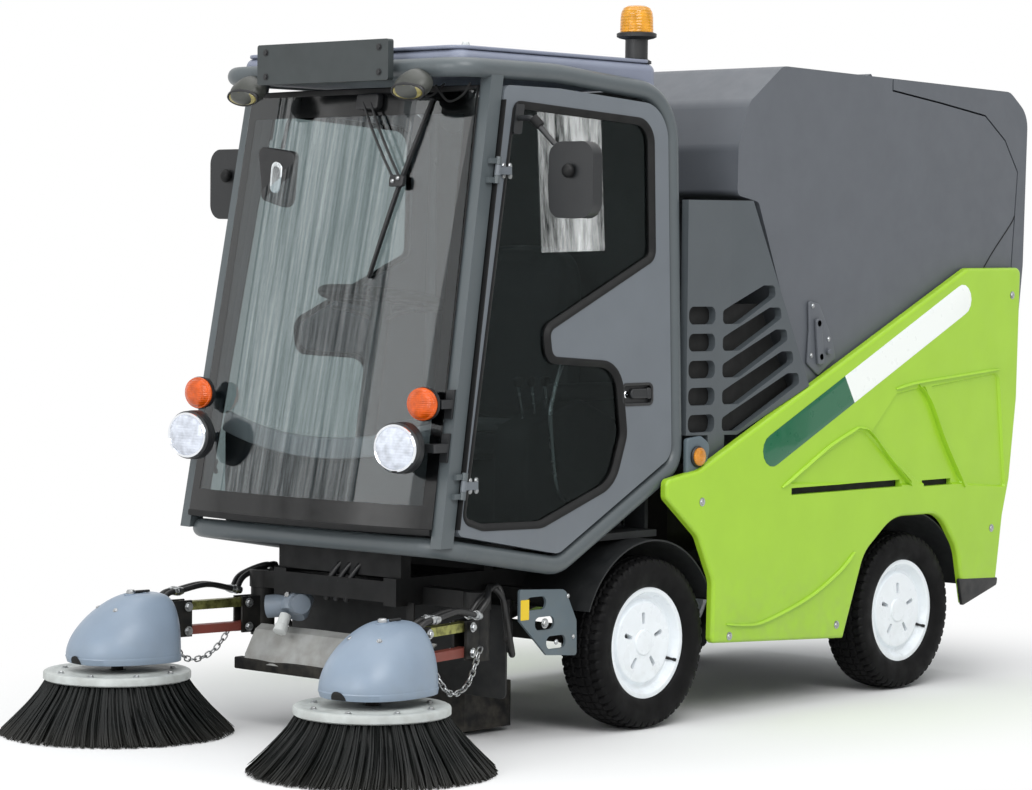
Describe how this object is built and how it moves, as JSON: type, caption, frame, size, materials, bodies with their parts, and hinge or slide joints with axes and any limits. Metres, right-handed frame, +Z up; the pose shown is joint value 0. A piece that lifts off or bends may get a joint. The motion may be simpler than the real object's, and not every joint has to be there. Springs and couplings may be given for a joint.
{
  "type": "compact street sweeper",
  "caption": "Compact street sweeper with glazed cab, twin front brushes on lifting arms, opening doors, steered front wheels and a tipping rear hopper with a hinged lid.",
  "frame": {"origin": "on the ground, in the middle of the machine's length and width", "axes": "+Z up, -Y towards the front, +X towards the machine's left side"},
  "size_m": [1.7338, 3.4982, 2.154],
  "materials": {
    "body_green": "gloss lime green",
    "cab_grey": "satin dark grey",
    "hopper_grey": "textured grey",
    "chassis_black": "satin black",
    "tyre": "moulded",
    "wheel_white": "gloss white",
    "glass": "clear",
    "cover_blue": "satin blue grey",
    "bristle": "stiff plastic bristle",
    "link_zinc": "yellow zinc plate",
    "black_plastic": "grained",
    "lamp_chrome": "polished",
    "amber": "clear amber",
    "red_lens": "clear red",
    "seat_fabric": "woven",
    "interior": "grained",
    "engine_iron": "as cast"
  },
  "bodies": {
    "machine": {"axles": "chassis_black", "beacon": "amber", "body_panels": "body_green", "cab_floor": "interior", "cab_frame": "cab_grey", "cab_rear_wall": "interior", "cab_roof": "cab_grey", "chassis_rails": "chassis_black", "cross_members": "chassis_black", "dashboard": "interior", "engine_block": "engine_iron", "frame_brackets": "chassis_black", "headlamps": "lamp_chrome", "indicators": "amber", "intake_grilles": "hopper_grey", "lamp_brackets": "black_plastic", "rear_bumper": "black_plastic", "roof_board": "black_plastic", "seat_base": "interior", "seat_cushions": "seat_fabric", "side_plates": "chassis_black", "steering_column": "interior", "suction_nozzle": "black_plastic", "tail_lamps": "red_lens", "wheel_arch_liners": "black_plastic", "windscreen": "glass", "work_lamps": "cab_grey"},
    "steer_left": {"knuckle_left": "chassis_black"},
    "steer_right": {"knuckle_right": "chassis_black"},
    "tie_rod": {"tie_rod": "chassis_black"},
    "steering_wheel": {"steering_wheel": "interior"},
    "hopper": {"hopper": "hopper_grey"},
    "hopper_lid": {"hopper_lid": "hopper_grey"},
    "wheel_front_left": {"tyre_front_left": "tyre", "rim_front_left": "wheel_white"},
    "wheel_rear_left": {"tyre_rear_left": "tyre", "rim_rear_left": "wheel_white"},
    "door_left": {"door_left": "cab_grey", "door_glass_left": "glass", "mirror_left": "black_plastic"},
    "brush_swing_left": {"brush_swing_left": "chassis_black"},
    "brush_lower_link_left": {"brush_link_lower_left": "link_zinc"},
    "brush_upper_link_left": {"brush_link_upper_left": "link_zinc"},
    "brush_head_left": {"brush_head_left": "link_zinc", "brush_cover_left": "cover_blue"},
    "brush_left": {"brush_left": "bristle"},
    "wheel_front_right": {"tyre_front_right": "tyre", "rim_front_right": "wheel_white"},
    "wheel_rear_right": {"tyre_rear_right": "tyre", "rim_rear_right": "wheel_white"},
    "door_right": {"door_right": "cab_grey", "door_glass_right": "glass", "mirror_right": "black_plastic"},
    "brush_swing_right": {"brush_swing_right": "chassis_black"},
    "brush_lower_link_right": {"brush_link_lower_right": "link_zinc"},
    "brush_upper_link_right": {"brush_link_upper_right": "link_zinc"},
    "brush_head_right": {"brush_head_right": "link_zinc", "brush_cover_right": "cover_blue"},
    "brush_right": {"brush_right": "bristle"}
  },
  "joints": [
    {"name": "steer_left_turn", "type": "hinge", "parent": "machine", "child": "steer_left", "pos_m": [0.395, -0.25, 0.257], "axis": [0, 0, 1], "range_deg": [-30, 30]},
    {"name": "steer_right_turn", "type": "hinge", "parent": "machine", "child": "steer_right", "pos_m": [-0.395, -0.25, 0.257], "axis": [0, 0, 1], "range_deg": [-30, 30]},
    {"name": "tie_rod_turn", "type": "hinge", "parent": "steer_left", "child": "tie_rod", "pos_m": [0.395, -0.15, 0.24], "axis": [0, 0, 1], "range_deg": [-30, 30]},
    {"name": "wheel_front_left_spin", "type": "hinge", "parent": "steer_left", "child": "wheel_front_left", "pos_m": [0.468, -0.25, 0.257], "axis": [1, 0, 0], "continuous": true},
    {"name": "wheel_rear_left_spin", "type": "hinge", "parent": "machine", "child": "wheel_rear_left", "pos_m": [0.468, 1.05, 0.257], "axis": [1, 0, 0], "continuous": true},
    {"name": "wheel_front_right_spin", "type": "hinge", "parent": "steer_right", "child": "wheel_front_right", "pos_m": [-0.468, -0.25, 0.257], "axis": [1, 0, 0], "continuous": true},
    {"name": "wheel_rear_right_spin", "type": "hinge", "parent": "machine", "child": "wheel_rear_right", "pos_m": [-0.468, 1.05, 0.257], "axis": [1, 0, 0], "continuous": true},
    {"name": "steering_wheel_turn", "type": "hinge", "parent": "machine", "child": "steering_wheel", "pos_m": [0, -0.85, 1.262], "axis": [0, 0.1564, 0.9877], "continuous": true},
    {"name": "door_left_open", "type": "hinge", "parent": "machine", "child": "door_left", "pos_m": [0.54219, -1.08436, 0.70088], "axis": [0.0275, -0.1737, -0.9844], "range_deg": [0, 75]},
    {"name": "door_right_open", "type": "hinge", "parent": "machine", "child": "door_right", "pos_m": [-0.54219, -1.08436, 0.70088], "axis": [0.0275, 0.1737, 0.9844], "range_deg": [0, 75]},
    {"name": "brush_swing_left_turn", "type": "hinge", "parent": "machine", "child": "brush_swing_left", "pos_m": [0.44, -0.905, 0.3], "axis": [0, 0, 1], "range_deg": [-8, 18]},
    {"name": "brush_lift_left", "type": "hinge", "parent": "brush_swing_left", "child": "brush_upper_link_left", "pos_m": [0.45154, -0.97607, 0.357], "axis": [-0.9871, -0.1603, 0], "range_deg": [0, 20]},
    {"name": "brush_lower_link_left_turn", "type": "hinge", "parent": "brush_swing_left", "child": "brush_lower_link_left", "pos_m": [0.45154, -0.97607, 0.285], "axis": [-0.9871, -0.1603, 0], "range_deg": [0, 20]},
    {"name": "brush_head_left_level", "type": "hinge", "parent": "brush_upper_link_left", "child": "brush_head_left", "pos_m": [0.486, -1.18829, 0.357], "axis": [0.9871, 0.1603, 0], "range_deg": [0, 20]},
    {"name": "brush_left_spin", "type": "hinge", "parent": "brush_head_left", "child": "brush_left", "pos_m": [0.522, -1.41, 0.17], "axis": [0, 0, 1], "continuous": true},
    {"name": "brush_swing_right_turn", "type": "hinge", "parent": "machine", "child": "brush_swing_right", "pos_m": [-0.44, -0.905, 0.3], "axis": [0, 0, -1], "range_deg": [-8, 18]},
    {"name": "brush_lift_right", "type": "hinge", "parent": "brush_swing_right", "child": "brush_upper_link_right", "pos_m": [-0.45154, -0.97607, 0.357], "axis": [-0.9871, 0.1603, 0], "range_deg": [0, 20]},
    {"name": "brush_lower_link_right_turn", "type": "hinge", "parent": "brush_swing_right", "child": "brush_lower_link_right", "pos_m": [-0.45154, -0.97607, 0.285], "axis": [-0.9871, 0.1603, 0], "range_deg": [0, 20]},
    {"name": "brush_head_right_level", "type": "hinge", "parent": "brush_upper_link_right", "child": "brush_head_right", "pos_m": [-0.486, -1.18829, 0.357], "axis": [0.9871, -0.1603, 0], "range_deg": [0, 20]},
    {"name": "brush_right_spin", "type": "hinge", "parent": "brush_head_right", "child": "brush_right", "pos_m": [-0.522, -1.41, 0.17], "axis": [0, 0, 1], "continuous": true},
    {"name": "hopper_tip", "type": "hinge", "parent": "machine", "child": "hopper", "pos_m": [0, 1.52, 0.68], "axis": [-1, 0, 0], "range_deg": [0, 50]},
    {"name": "hopper_lid_open", "type": "hinge", "parent": "hopper", "child": "hopper_lid", "pos_m": [0, 0.957, 1.995], "axis": [1, 0, 0], "range_deg": [0, 75]}
  ],
  "couplings": [
    {"joint": "steer_right_turn", "follows": "steer_left_turn", "ratio": 1},
    {"joint": "tie_rod_turn", "follows": "steer_left_turn", "ratio": -1},
    {"joint": "brush_lower_link_left_turn", "follows": "brush_lift_left", "ratio": 1},
    {"joint": "brush_head_left_level", "follows": "brush_lift_left", "ratio": 1},
    {"joint": "brush_lower_link_right_turn", "follows": "brush_lift_right", "ratio": 1},
    {"joint": "brush_head_right_level", "follows": "brush_lift_right", "ratio": 1}
  ]
}
